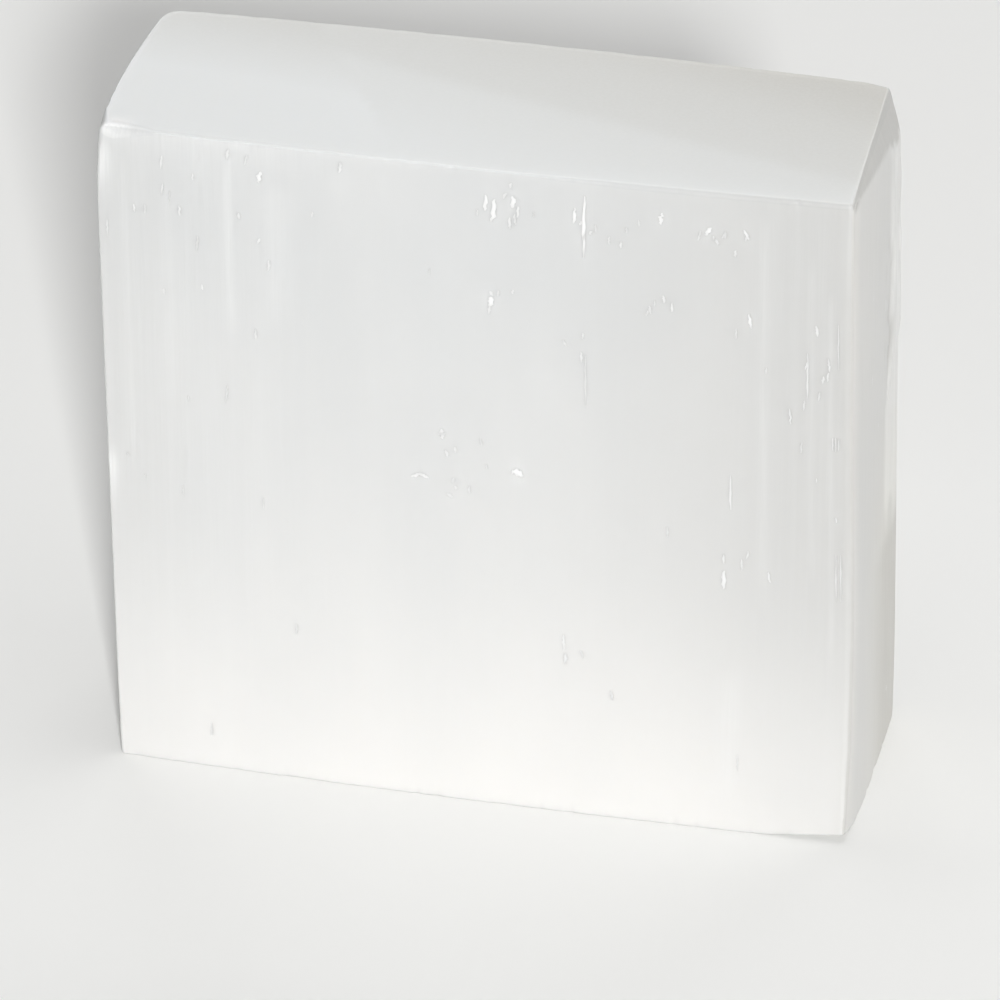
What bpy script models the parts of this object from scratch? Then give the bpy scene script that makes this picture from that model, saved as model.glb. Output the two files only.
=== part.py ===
"""Solid upright block of fibrous white mineral, in metres, +Z up along the fibres.

The origin is the middle of the base, +X runs along the width and the front face looks along -Y.
The long faces are slightly crowned and not quite upright, the long edges are eased and wear
rounder at some of their ends, and two corners on the right are ground off.
"""

from collections import namedtuple
from math import atan2, cos, pi, radians, sin

import bmesh
import bpy
from mathutils import Vector

WIDTH = 0.1000  # over the crowns of the left and right faces
DEPTH = 0.0361  # over the crowns of the front and back faces
HEIGHT = 0.0936  # between the two flat sawn ends, along the fibres

# A long face seen from above: half_length along it, out to its highest line, how far the crown
# falls over half the length, and where the highest line is, measured anticlockwise from the middle.
Face = namedtuple("Face", "half_length out crown crown_at")
FACES = (  # anticlockwise
    Face(WIDTH / 2, DEPTH / 2, 0.00087, 0.0085),  # front
    Face(DEPTH / 2, WIDTH / 2, 0.00010, 0),  # right
    Face(WIDTH / 2, DEPTH / 2, 0.00121, 0.0100),  # back
    Face(DEPTH / 2, WIDTH / 2, 0.00090, 0),  # left
)

# The long edges run along the fibres. Each follows its face in FACES, and wears rounder by the
# two extra radii: at the base, and at the top.
LONG_EDGE_RADIUS = 0.0011
EDGE_WEAR = (
    (0.0030, 0),  # front to right
    (0.0010, 0),  # right to back
    (0.0004, 0.0020),  # back to left
    (0.0006, 0.0010),  # left to front
)
EDGE_WEAR_REACH = 0.016  # how far from an end the extra rounding starts

RIM_RADIUS = 0.0005  # easing of the rims of the two sawn ends
RIM_STEPS = 3

RIGHT_LEAN = 0.0014  # how far the right face comes in between the base and the top
FRONT_LEAN = 0.0009  # the same for the front face
LEFT_UNDERCUT = 0.0007  # how far the left face comes in between the top and the base
LEFT_SHOULDER = 0.0006  # how far the left face rolls in again at its top
SHOULDER_REACH = 0.010

SIDE_STEPS = 12  # straight pieces along each face
CORNER_STEPS = 6  # straight pieces round each long edge
LEVEL_STEPS = 14  # slices between the two rims
LEVEL_CROWDING = 0.85  # 0 spaces the slices evenly, 1 draws them towards the ends

# A ground corner is a plane: where it meets the three edges, measured from the sharp corner.
TOP_CORNER_CUT = (-0.0017, -0.0045, -0.0028)
BASE_CORNER_CUT = (-0.0120, 0.0060, 0.0013)

SHARP_ANGLE = radians(30)


def fall(face, along):
    """How far a face is below its highest line, at a place along it."""
    return face.crown * ((along - face.crown_at) / face.half_length) ** 2


def face_points(face, start, end, inset):
    """A face seen from above as (along, out) pairs, anticlockwise, set in by inset."""
    points = []
    for i in range(SIDE_STEPS + 1):
        along = start + (end - start) * i / SIDE_STEPS
        points.append((along, face.out - inset - fall(face, along)))
    return points


def turned(points, quarter):
    """(along, out) pairs as plan points, turned so that out is -Y, +X, +Y or -X."""
    along_axis = Vector((cos(quarter * pi / 2), sin(quarter * pi / 2)))
    out_axis = Vector((along_axis.y, -along_axis.x))
    return [along_axis * along + out_axis * out for along, out in points]


def eased_corner(side, following):
    """Points of the round between the end of one side and the start of the next."""
    start = side[-1]
    end = following[0]
    leaving = (side[-1] - side[-2]).normalized()
    arriving = (following[1] - following[0]).normalized()
    turn = leaving.angle(arriving)
    radius = (end - start).length / (2 * sin(turn / 2))
    centre = start + Vector((-leaving.y, leaving.x)) * radius
    begin = atan2(start.y - centre.y, start.x - centre.x)
    points = []
    for i in range(1, CORNER_STEPS):
        angle = begin + turn * i / CORNER_STEPS
        points.append(centre + radius * Vector((cos(angle), sin(angle))))
    return points


def edge_radius(wear, height):
    """Radius of a long edge at a height: it grows towards a worn end."""
    base_wear, top_wear = wear
    near_base = max(0, 1 - height / EDGE_WEAR_REACH)
    near_top = max(0, 1 - (HEIGHT - height) / EDGE_WEAR_REACH)
    return LONG_EDGE_RADIUS + base_wear * near_base**2 + top_wear * near_top**2


def plan_outline(height, inset):
    """The outline seen from above at a height, anticlockwise, before the faces lean."""
    radii = [edge_radius(wear, height) - inset for wear in EDGE_WEAR]
    sides = []
    for i, face in enumerate(FACES):
        before = FACES[i - 1]
        after = FACES[(i + 1) % len(FACES)]
        # A side stops short of the sharp corners by the round there and by the next face's fall.
        short_of_start = fall(before, before.half_length) + radii[i - 1]
        short_of_end = fall(after, -after.half_length) + radii[i]
        half_length = face.half_length - inset
        start = short_of_start - half_length
        end = half_length - short_of_end
        sides.append(turned(face_points(face, start, end, inset), i))
    outline = []
    for i, side in enumerate(sides):
        outline += side
        outline += eased_corner(side, sides[(i + 1) % len(sides)])
    return outline


def leaned(point, height):
    """An outline point at its height, with the left, right and front faces out of true."""
    x, y = point
    rise = height / HEIGHT
    shoulder = max(0, 1 - (HEIGHT - height) / SHOULDER_REACH) ** 2
    right_share = max(0, x / (WIDTH / 2))
    left_share = max(0, -x / (WIDTH / 2))
    front_share = max(0, -y / (DEPTH / 2))
    x -= right_share * RIGHT_LEAN * rise
    x += left_share * (LEFT_UNDERCUT * (1 - rise) + LEFT_SHOULDER * shoulder)
    y += front_share * FRONT_LEAN * rise
    return Vector((x, y, height))


def wall_height(step):
    """Height of a slice of the walls: closer together near the ends, where the edges wear."""
    share = step / LEVEL_STEPS
    crowded = (1 - cos(pi * share)) / 2
    between_rims = HEIGHT - 2 * RIM_RADIUS
    return RIM_RADIUS + between_rims * (share + (crowded - share) * LEVEL_CROWDING)


def slices():
    """(height, inset) of every ring, from the base up: a round rim, the walls, a round rim."""
    rim = []
    for i in range(RIM_STEPS):
        angle = pi / 2 * i / RIM_STEPS
        rim.append((RIM_RADIUS * (1 - cos(angle)), RIM_RADIUS * (1 - sin(angle))))
    walls = [(wall_height(i), 0) for i in range(LEVEL_STEPS + 1)]
    top_rim = [(HEIGHT - height, inset) for height, inset in reversed(rim)]
    return rim + walls + top_rim


def add_level(mesh, height, inset):
    """One ring of vertices round the block."""
    return [mesh.verts.new(leaned(point, height)) for point in plan_outline(height, inset)]


def add_walls(mesh, lower, upper):
    """The band of faces between two rings."""
    count = len(lower)
    for i in range(count):
        j = (i + 1) % count
        mesh.faces.new((lower[i], lower[j], upper[j], upper[i]))


def grind_corner(mesh, corner, cut):
    """Takes a corner off with the plane through the three points at the distances in cut."""
    outward = -Vector([1 / distance for distance in cut]).normalized()
    result = bmesh.ops.bisect_plane(
        mesh,
        geom=mesh.verts[:] + mesh.edges[:] + mesh.faces[:],
        dist=1e-7,
        plane_co=corner + Vector((cut[0], 0, 0)),
        plane_no=outward,
        clear_outer=True,
    )
    rim = [item for item in result["geom_cut"] if isinstance(item, bmesh.types.BMEdge)]
    bmesh.ops.edgenet_fill(mesh, edges=rim)


def block_mesh():
    """The whole solid."""
    mesh = bmesh.new()
    rings = [add_level(mesh, height, inset) for height, inset in slices()]
    for lower, upper in zip(rings[:-1], rings[1:], strict=True):
        add_walls(mesh, lower, upper)
    mesh.faces.new(list(reversed(rings[0])))
    mesh.faces.new(rings[-1])
    front, right, back, _ = FACES
    right_of_top = WIDTH / 2 - fall(right, right.half_length) - RIGHT_LEAN
    back_of_top = DEPTH / 2 - fall(back, -back.half_length)
    right_of_base = WIDTH / 2 - fall(right, -right.half_length)
    front_of_base = fall(front, front.half_length) - DEPTH / 2
    grind_corner(mesh, Vector((right_of_top, back_of_top, HEIGHT)), TOP_CORNER_CUT)
    grind_corner(mesh, Vector((right_of_base, front_of_base, 0)), BASE_CORNER_CUT)
    bmesh.ops.recalc_face_normals(mesh, faces=mesh.faces)
    data = bpy.data.meshes.new("block")
    mesh.to_mesh(data)
    mesh.free()
    data.shade_smooth()
    data.set_sharp_from_angle(angle=SHARP_ANGLE)
    return data


def mineral_material():
    """Milky white, satin mineral."""
    material = bpy.data.materials.new("white_mineral")
    material.use_nodes = True
    shader = material.node_tree.nodes["Principled BSDF"]
    shader.inputs["Base Color"].default_value = (0.84, 0.85, 0.84, 1)
    shader.inputs["Roughness"].default_value = 0.38
    shader.inputs["Metallic"].default_value = 0
    return material


def main():
    """Builds the one-piece block in an emptied scene."""
    for item in list(bpy.data.objects):
        bpy.data.objects.remove(item, do_unlink=True)
    block = bpy.data.objects.new("block", block_mesh())
    block.data.materials.append(mineral_material())
    bpy.context.scene.collection.objects.link(block)


main()
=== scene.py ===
"""Looks of a solid block of fibrous white mineral standing on a plain pale floor.

The shown block repeats the CAD's shape on a fine mesh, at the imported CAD's height, and adds fibre
relief, worn edges, a rough fracture and small raised cleavage splinters.
All lengths are in metres. The fibres run along +Z and the front face looks along -Y.
"""

from collections import namedtuple
from math import cos, pi, radians, sin

import bpy
import numpy as np
from mathutils import Matrix, Vector, geometry


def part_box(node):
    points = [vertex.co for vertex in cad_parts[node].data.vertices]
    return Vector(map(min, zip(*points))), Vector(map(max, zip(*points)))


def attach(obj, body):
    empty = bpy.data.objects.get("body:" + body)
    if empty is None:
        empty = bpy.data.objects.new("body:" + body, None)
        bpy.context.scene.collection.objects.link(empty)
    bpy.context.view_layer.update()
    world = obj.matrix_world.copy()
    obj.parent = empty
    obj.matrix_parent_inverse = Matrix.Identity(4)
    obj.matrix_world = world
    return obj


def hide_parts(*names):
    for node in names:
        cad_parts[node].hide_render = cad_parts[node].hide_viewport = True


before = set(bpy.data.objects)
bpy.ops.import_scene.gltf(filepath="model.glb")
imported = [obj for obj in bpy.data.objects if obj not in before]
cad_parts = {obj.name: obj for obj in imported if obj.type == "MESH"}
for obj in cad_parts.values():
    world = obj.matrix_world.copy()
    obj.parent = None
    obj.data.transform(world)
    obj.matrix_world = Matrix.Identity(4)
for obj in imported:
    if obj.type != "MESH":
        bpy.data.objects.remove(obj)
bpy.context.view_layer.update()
CAD_LOW, CAD_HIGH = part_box("block")

SEED = 7
MM = 0.001

# -------- shape of the block, as in the CAD

WIDTH = 0.1000
DEPTH = 0.0361
HEIGHT = CAD_HIGH.z - CAD_LOW.z

# A long face seen from above: half_length along it, out to its highest line, how far the crown
# falls over half the length, and where the highest line is, measured anticlockwise from the middle.
Face = namedtuple("Face", "half_length out crown crown_at columns")
FACES = (  # anticlockwise
    Face(WIDTH / 2, DEPTH / 2, 0.00087, 0.0085, 350),  # front
    Face(DEPTH / 2, WIDTH / 2, 0.00010, 0, 124),  # right
    Face(WIDTH / 2, DEPTH / 2, 0.00121, 0.0100, 240),  # back
    Face(DEPTH / 2, WIDTH / 2, 0.00090, 0, 96),  # left
)
AROUND = 2 * sum(face.half_length for face in FACES)  # way round, starting at the front left edge
RIGHT_BACK_EDGE = WIDTH + DEPTH  # the way round to that edge

# A long edge: its radius, and how much rounder it is at the base and at the top: below 0 is crisper.
LongEdge = namedtuple("LongEdge", "radius base_wear top_wear")
LONG_EDGES = (
    LongEdge(0.0011, -0.0007, -0.0004),  # front to right
    LongEdge(0.0006, 0.0015, 0.0013),  # right to back
    LongEdge(0.0011, 0.0004, 0.0013),  # back to left
    LongEdge(0.0004, 0.0003, 0.0006),  # left to front
)
EDGE_WEAR_REACH = 0.016
CORNER_COLUMNS = 8

# How far apart the rows of points up the long faces are: at most, next to a rim, and how fast that
# grows away from it.
ROW_STEP = 0.00125
RIM_ROW_STEP = 0.00018
ROW_STEP_GROWTH = 0.16

# Easing of the sawn rims. The top one is given at places round the block: crisp along the left of
# the front, softer to its right, and roundest near the front left and back right corners.
BASE_RIM_RADIUS = 0.00015
TOP_RIM_RADII = (  # (way round, radius)
    (0.0000, 0.0008),
    (0.0022, 0.0015),
    (0.0045, 0.0011),
    (0.0080, 0.00025),
    (0.0560, 0.00025),
    (0.0700, 0.0006),
    (0.1030, 0.0006),
    (0.1250, 0.0010),
    (0.1350, 0.0015),
    (0.1400, 0.0002),
    (0.2661, 0.0002),
    (0.2700, 0.0012),
    (0.2722, 0.0008),
)
RIM_ROWS = 5

RIGHT_LEAN = 0.0014
FRONT_LEAN = 0.0009
LEFT_UNDERCUT = 0.0007
LEFT_SHOULDER = 0.0006
SHOULDER_REACH = 0.010

# A ground corner is a plane: where it meets the three edges, measured from the sharp corner.
TOP_CORNER_CUT = (-0.0017, -0.0045, -0.0028)
BASE_CORNER_CUT = (-0.0120, 0.0060, 0.0013)
GRIND_BLEND = 0.0002  # with this much ground away, the surface looks fully ground
GROUND_CLEARNESS = 0.8

# The right face comes in towards its front base corner, and its front edge stands out above that.
CORNER_INSET = 0.0008
CORNER_INSET_REACH = 0.014
EDGE_BULGE = 0.0004
EDGE_BULGE_HEIGHT = 0.035
EDGE_BULGE_REACH = 0.016

# A narrow strip ground along the top of the right face, as three points on its plane: how far each
# is from the right face, its y, and how far it is below the top.
RIGHT_STRIP = (
    (0.0004, -0.0140, 0),
    (0.0015, 0.0140, 0),
    (0.0000, 0.0000, 0.0034),
)


def fall(face, along):
    """How far a face is below its highest line, at a place along it."""
    return face.crown * ((along - face.crown_at) / face.half_length) ** 2


def edge_radius(edge, heights):
    """Radius of a long edge at each height: it grows towards a worn end."""
    near_base = np.maximum(0, 1 - heights / EDGE_WEAR_REACH)
    near_top = np.maximum(0, 1 - (HEIGHT - heights) / EDGE_WEAR_REACH)
    return edge.radius + edge.base_wear * near_base**2 + edge.top_wear * near_top**2


def wall_shares():
    """Shares of the height between the two rims for the rows of the walls, closer near the ends."""
    rows = [0.0]
    while rows[-1] < HEIGHT / 2:
        rows.append(rows[-1] + min(ROW_STEP, RIM_ROW_STEP + ROW_STEP_GROWTH * rows[-1]))
    below = np.array(rows[:-1]) / HEIGHT
    return np.concatenate([below, 1 - below[::-1]])


def side_points(index, radii):
    """One long face on every row: plan points, and the way round to each."""
    face = FACES[index]
    before = FACES[index - 1]
    after = FACES[(index + 1) % len(FACES)]
    start = fall(before, before.half_length) + radii[index - 1] - face.half_length
    end = face.half_length - fall(after, -after.half_length) - radii[index]
    share = np.linspace(0, 1, face.columns + 1)
    along = start[:, None] + (end - start)[:, None] * share[None, :]
    out = face.out - fall(face, along)
    along_axis = (cos(index * pi / 2), sin(index * pi / 2))
    x = along_axis[0] * along + along_axis[1] * out
    y = along_axis[1] * along - along_axis[0] * out
    face_start = 2 * sum(item.half_length for item in FACES[:index])
    return np.stack([x, y], axis=-1), face_start + face.half_length + along


def corner_points(side, following):
    """The round between the end of one side and the start of the next, on every row."""
    start = side[:, -1]
    end = following[:, 0]
    leaving = side[:, -1] - side[:, -2]
    arriving = following[:, 1] - following[:, 0]
    leave_angle = np.arctan2(leaving[:, 1], leaving[:, 0])
    turn = (np.arctan2(arriving[:, 1], arriving[:, 0]) - leave_angle) % (2 * pi)
    radius = np.hypot(*(end - start).T) / (2 * np.sin(turn / 2))
    across = np.stack([-np.sin(leave_angle), np.cos(leave_angle)], axis=-1)
    centre = start + across * radius[:, None]
    share = np.arange(1, CORNER_COLUMNS) / CORNER_COLUMNS
    angle = (leave_angle - pi / 2)[:, None] + turn[:, None] * share[None, :]
    spokes = np.stack([np.cos(angle), np.sin(angle)], axis=-1)
    return centre[:, None] + radius[:, None, None] * spokes


def plan_rows(heights):
    """Every row's outline seen from above, and the way round to each of its points."""
    radii = [edge_radius(edge, heights) for edge in LONG_EDGES]
    sides = [side_points(i, radii) for i in range(len(FACES))]
    plan = []
    around = []
    for i, (side, way) in enumerate(sides):
        following, next_way = sides[(i + 1) % len(sides)]
        wrap = AROUND if i + 1 == len(sides) else 0
        share = np.arange(1, CORNER_COLUMNS) / CORNER_COLUMNS
        gap = next_way[:, :1] + wrap - way[:, -1:]
        plan += [side, corner_points(side, following)]
        around += [way, way[:, -1:] + gap * share[None, :]]
    return np.concatenate(plan, axis=1), np.concatenate(around, axis=1) % AROUND


def lean(points):
    """Puts the left, right and front faces out of true, in place."""
    x, y, height = points.T
    rise = height / HEIGHT
    shoulder = np.maximum(0, 1 - (HEIGHT - height) / SHOULDER_REACH) ** 2
    right_share = np.maximum(0, x / (WIDTH / 2))
    left_share = np.maximum(0, -x / (WIDTH / 2))
    front_share = np.maximum(0, -y / (DEPTH / 2))
    near_front = np.clip(1 - (y + DEPTH / 2) / CORNER_INSET_REACH, 0, 1) ** 2
    near_base = np.clip(1 - height / CORNER_INSET_REACH, 0, 1)
    bulge = EDGE_BULGE * bell(height, EDGE_BULGE_HEIGHT, EDGE_BULGE_REACH)
    inset = (CORNER_INSET * near_base - bulge) * near_front
    points[:, 0] -= right_share * (RIGHT_LEAN * rise + inset)
    points[:, 0] += left_share * (LEFT_UNDERCUT * (1 - rise) + LEFT_SHOULDER * shoulder)
    points[:, 1] += front_share * FRONT_LEAN * rise


def grind(points, on_plane, outward):
    """Brings the points beyond a plane down onto it, in place; says how far beyond they were."""
    outward = outward / np.linalg.norm(outward)
    beyond = np.maximum(0, (points - on_plane) @ outward)
    points -= beyond[:, None] * outward
    return beyond


def grind_corner(points, corner, cut):
    """Takes a corner off with the plane through the three points at the distances in cut."""
    outward = np.array([-1 / distance for distance in cut])
    return grind(points, corner + np.array([cut[0], 0, 0]), outward)


def grind_all(points):
    """Grinds the strip and the two corners, in place; gives 1 on the strip and the top corner."""
    front, right, back, _ = FACES
    right_of_top = WIDTH / 2 - fall(right, right.half_length) - RIGHT_LEAN
    back_of_top = DEPTH / 2 - fall(back, -back.half_length)
    right_of_base = WIDTH / 2 - fall(right, -right.half_length)
    front_of_base = fall(front, front.half_length) - DEPTH / 2
    a, b, c = [np.array([right_of_top - into, y, HEIGHT - below]) for into, y, below in RIGHT_STRIP]
    beyond = grind(points, a, np.cross(c - a, b - a))
    beyond += grind_corner(points, np.array([right_of_top, back_of_top, HEIGHT]), TOP_CORNER_CUT)
    grind_corner(points, np.array([right_of_base, front_of_base, 0]), BASE_CORNER_CUT)
    return ramp(beyond, 0, GRIND_BLEND)


# -------- soft steps, bells and noise

def ramp(value, low, high):
    """0 below low, 1 above high, and a smooth climb between."""
    share = np.clip((value - low) / (high - low), 0, 1)
    return share * share * (3 - 2 * share)


def window(value, climb, drop):
    """1 inside a range and 0 outside, with a smooth climb and a smooth drop."""
    return ramp(value, *climb) * (1 - ramp(value, *drop))


def bell(value, middle, spread):
    """1 at the middle, falling away smoothly on both sides."""
    return np.exp(-(((value - middle) / spread) ** 2))


def by_face(around, front, right, others):
    """Picks a value for the front, for the right face, and for the back and left faces."""
    return np.where(around < WIDTH, front, np.where(around < RIGHT_BACK_EDGE, right, others))


def smooth_noise(around, height, cell_around, cell_height, rng):
    """Noise from 0 to 1 over the long faces, closing on itself round the block."""
    columns = round(AROUND / cell_around)
    rows = int(HEIGHT / cell_height) + 3
    lattice = rng.random((rows, columns))
    a = around / AROUND * columns
    b = np.clip(height / cell_height, 0, rows - 2)
    i = np.floor(a).astype(int)
    j = np.floor(b).astype(int)
    share_a = ramp(a - i, 0, 1)
    share_b = ramp(b - j, 0, 1)
    i0 = i % columns
    i1 = (i + 1) % columns
    lower = lattice[j, i0] * (1 - share_a) + lattice[j, i1] * share_a
    upper = lattice[j + 1, i0] * (1 - share_a) + lattice[j + 1, i1] * share_a
    return lower * (1 - share_b) + upper * share_b


# -------- relief of the long faces

# Where the fibres fade out across the front and show again, and where they show in full, going up.
FIBRES_FADE_OUT = (0.012, 0.034)
FIBRES_FADE_IN = (0.080, 0.092)
FIBRES_UP = (0.010, 0.045)


def fibrous(around, height):
    """How plainly the fibres show: most near the long edges, least in the middle of the front."""
    near_left = 1 - ramp(around, *FIBRES_FADE_OUT)
    near_right = ramp(around, *FIBRES_FADE_IN)
    upper = 0.15 + 0.85 * ramp(height, *FIBRES_UP)
    front = 0.18 + (0.66 * near_left + 0.50 * near_right) * upper
    return by_face(around, front, 0.75, 1.2)


# The grains of the relief: how far they reach round the block and up it, and how deep they are.
Grain = namedtuple("Grain", "around height depth")
SWELLS = Grain(0.011, 0.060, 0.05 * MM)
BAND_GRAIN = Grain(0.0030, 0.045, 0.022 * MM)
FIBRE_GRAIN = Grain(0.0011, 0.022, 0.016 * MM)
SPLITS = Grain(0.0016, 0.016, 0.06 * MM)
SPLIT_FROM = (0.82, 0.98)  # only the highest grains of the noise are splits


def fibre_depth(around, height, rng):
    """How deep the fibrous surface lies below the CAD's face: swells, bands, fibres, splits."""
    swell = smooth_noise(around, height, SWELLS.around, SWELLS.height, rng)
    band = smooth_noise(around, height, BAND_GRAIN.around, BAND_GRAIN.height, rng)
    fibre = smooth_noise(around, height, FIBRE_GRAIN.around, FIBRE_GRAIN.height, rng)
    split = smooth_noise(around, height, SPLITS.around, SPLITS.height, rng)
    lines = BAND_GRAIN.depth * band + FIBRE_GRAIN.depth * fibre
    lines += SPLITS.depth * ramp(split, *SPLIT_FROM)
    return SWELLS.depth * swell + lines * fibrous(around, height)


# The chips along a sawn rim: their width, how far along it their length changes, their least and
# greatest length, their depth, and which grains of the noise are chips.
CHIP_WIDTH = 0.0014
CHIP_LENGTH_CHANGES = 0.0021
CHIP_LENGTHS = (0.0004, 0.0022)
CHIP_DEPTH = 0.13 * MM
CHIP_FROM = (0.62, 0.97)


def rim_depth(around, from_end, rng):
    """Small chips where the fibres broke out along a sawn rim."""
    level = 0 * around
    chips = smooth_noise(around, level, CHIP_WIDTH, HEIGHT, rng)
    share = smooth_noise(around, level, CHIP_LENGTH_CHANGES, HEIGHT, rng)
    shortest, longest = CHIP_LENGTHS
    length = shortest + (longest - shortest) * share
    return CHIP_DEPTH * ramp(chips, *CHIP_FROM) * ramp(-from_end / length, -1, 0)


# The fracture along the upper back edge of the right face, and the pitted trough beside it. Places
# round the block are measured from that edge, and heights from the base; each pair is where
# something starts and is in full.
FRACTURE_IN = (-0.0105, -0.0065)
FRACTURE_OUT = (0.0005, 0.0025)
FRACTURE_BOTTOM = (0.0310, 0.0360)
FRACTURE_TOP = (HEIGHT - 0.0050, HEIGHT - 0.0030)
FRACTURE_RAISED = (0.0530, 0.0575)
FRACTURE_WIDER = ((0.0330, 0.0400), (0.0500, 0.0560))
FRACTURE_NARROWER = ((0.0540, 0.0600), (0.0710, 0.0770))
TROUGH_MIDDLE = -0.0090
TROUGH_HALF_WIDTH = 0.0018
TROUGH_HEIGHTS = ((0.0500, 0.0540), (0.0730, 0.0770))
PIT_FROM = (0.30, 0.70)
PIT_DEPTH = 0.50 * MM


def fracture(around, height, rng):
    """(how broken, how pitted, how far proud) along the upper back edge of the right face."""
    ragged = smooth_noise(around, height, 0.0030, 0.0050, rng) - 0.5
    to_edge = around - RIGHT_BACK_EDGE
    wider = 0.0030 * window(height, *FRACTURE_WIDER) - 0.0022 * window(height, *FRACTURE_NARROWER)
    inner = ramp(to_edge + 0.0040 * ragged + wider, *FRACTURE_IN)
    outer = 1 - ramp(to_edge, *FRACTURE_OUT)
    below_top = 1 - ramp(height, *FRACTURE_TOP)
    broken = inner * outer * below_top * ramp(height + 0.008 * ragged, *FRACTURE_BOTTOM)
    raised = broken * ramp(height + 0.012 * ragged, *FRACTURE_RAISED)
    rough = smooth_noise(around, height, 0.0012, 0.0040, rng)
    fine = smooth_noise(around, height, 0.0008, 0.0020, rng)
    trough = bell(to_edge + 0.0040 * ragged, TROUGH_MIDDLE, TROUGH_HALF_WIDTH)
    trough *= below_top * window(height, *TROUGH_HEIGHTS)
    pits = trough * ramp(smooth_noise(around, height, 0.0016, 0.0036, rng), *PIT_FROM)
    proud = raised * (0.40 - 0.24 * rough - 0.12 * fine) * MM - PIT_DEPTH * pits
    return broken, pits, proud


# A small dark nick across the right face, just below the top front corner; its dark grey is
# painted shade in the hollow.
NICK_FROM_EDGE = 0.0035
NICK_BELOW_TOP = 0.0014
NICK_HALF_LENGTH = 0.0013
NICK_HALF_HEIGHT = 0.0004
NICK_DEPTH = 0.45 * MM


def nick(around, height):
    """How fully each place lies in the nick."""
    across = bell(around, WIDTH + NICK_FROM_EDGE, NICK_HALF_LENGTH)
    return across * bell(height, HEIGHT - NICK_BELOW_TOP, NICK_HALF_HEIGHT)


def outward_normals(plan):
    """Unit normals of the outlines seen from above."""
    along = np.roll(plan, -1, axis=1) - np.roll(plan, 1, axis=1)
    normals = np.stack([along[..., 1], -along[..., 0]], axis=-1)
    return normals / np.linalg.norm(normals, axis=-1, keepdims=True)


# -------- how the long faces are coloured

# A paler band of fibres, in millimetres: how far it is round the block from the front left edge,
# how high its top and its bottom are, and how wide it is; and how pale it is. The first two, on the
# rounding of the front left edge, are painted highlights.
Band = namedtuple("Band", "across top bottom width pale")
BANDS = (
    # The next two are painted highlights on the rounding of the front left edge.
    Band(1.3, 93, 85, 3.0, 0.55),
    Band(1.0, 48, 40, 2.2, 0.70),
    Band(18.2, 94, 66, 1.4, 0.20),
    Band(24.5, 90, 68, 3.5, 0.12),
    Band(14.5, 93, 87, 1.0, 0.18),
    Band(33.0, 93, 88, 3.5, 0.14),
    Band(38.5, 93, 89, 1.5, 0.12),
    Band(10.0, 88, 56, 2.5, 0.08),
    Band(4.5, 92, 46, 1.0, 0.12),
    Band(88.3, 92, 36, 1.3, 0.13),
    Band(94.5, 86, 40, 1.0, 0.10),
    Band(97.0, 82, 28, 0.7, 0.12),
    Band(84.0, 26, 4, 3.0, 0.10),
    Band(148.0, 90, 20, 2.5, 0.18),
    Band(163.0, 60, 6, 5.0, 0.15),
    Band(181.0, 92, 48, 1.2, 0.30),
    Band(204.0, 88, 34, 3.0, 0.16),
    Band(221.0, 70, 10, 1.0, 0.26),
    Band(246.0, 90, 40, 2.0, 0.22),
    Band(259.0, 62, 8, 1.2, 0.26),
)

BAND_RELIEF = 0.04 * MM  # how far a band stands proud where it is palest


def band_paleness(around, height):
    """How pale the bands make each place."""
    pale = 0 * around
    for band in BANDS:
        across = bell(around / MM, band.across, band.width / 2)
        ends = window(height / MM, (band.bottom - 3, band.bottom + 5), (band.top - 4, band.top))
        pale = np.maximum(pale, band.pale * across * ends)
    return pale


# Painted glow round the glints of the plainest splinters: how far it reaches and how strong it is.
GLINT_GLOW_REACH = 1.1  # millimetres beside a splinter
GLINT_GLOW_STRENGTH = 0.25


def glint_glow(around, height):
    """How pale the painted glow round the glints of the plainest splinters makes each place."""
    pale = 0 * around
    for item in FRONT_SPLINTERS:
        across = bell(around / MM, item.across, GLINT_GLOW_REACH)
        ends = bell(height / MM, item.height, 0.5 * item.length + 0.7)
        pale = np.maximum(pale, GLINT_GLOW_STRENGTH * item.width * item.white * across * ends)
    return pale


def to_long_edge(around):
    """How far a place on the long faces is from the nearest long edge, measured round the block."""
    edges = (0, WIDTH, RIGHT_BACK_EDGE, AROUND - DEPTH, AROUND)
    return np.min([np.abs(around - edge) for edge in edges], axis=0)


# How clear the front is at places across it, and how milky it is at heights above the base; its
# whitening towards the base is partly painted light from the floor.
FRONT_CLEARNESS = (
    (0.000, 0.28),
    (0.014, 0.08),
    (0.045, 0.05),
    (0.060, 0.12),
    (0.074, 0.29),
    (0.085, 0.46),
    (0.098, 0.66),
)
FRONT_MILKINESS_AND_FLOOR_LIGHT = (
    (0.000, 1.00),
    (0.012, 0.82),
    (0.027, 0.54),
    (0.036, 0.38),
    (0.048, 0.27),
    (0.063, 0.20),
    (0.080, 0.03),
)

# Where, on the right face, something starts and is in full: the front's clearness has faded past
# the edge, the face is clearer, so greyer, low at the back, which is painted shade, and a strip
# beside the edge is whiter, which is painted light.
EDGE_CLEARNESS_FADES = (WIDTH + 0.0005, WIDTH + 0.0018)
SHADED_LOW_BACK = (RIGHT_BACK_EDGE - 0.022, RIGHT_BACK_EDGE - 0.008)
SHADED_LOW_BACK_TOP = (0.029, 0.034)
LIT_EDGE_STRIP = ((WIDTH + 0.0005, WIDTH + 0.0014), (WIDTH + 0.0016, WIDTH + 0.0070))


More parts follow.
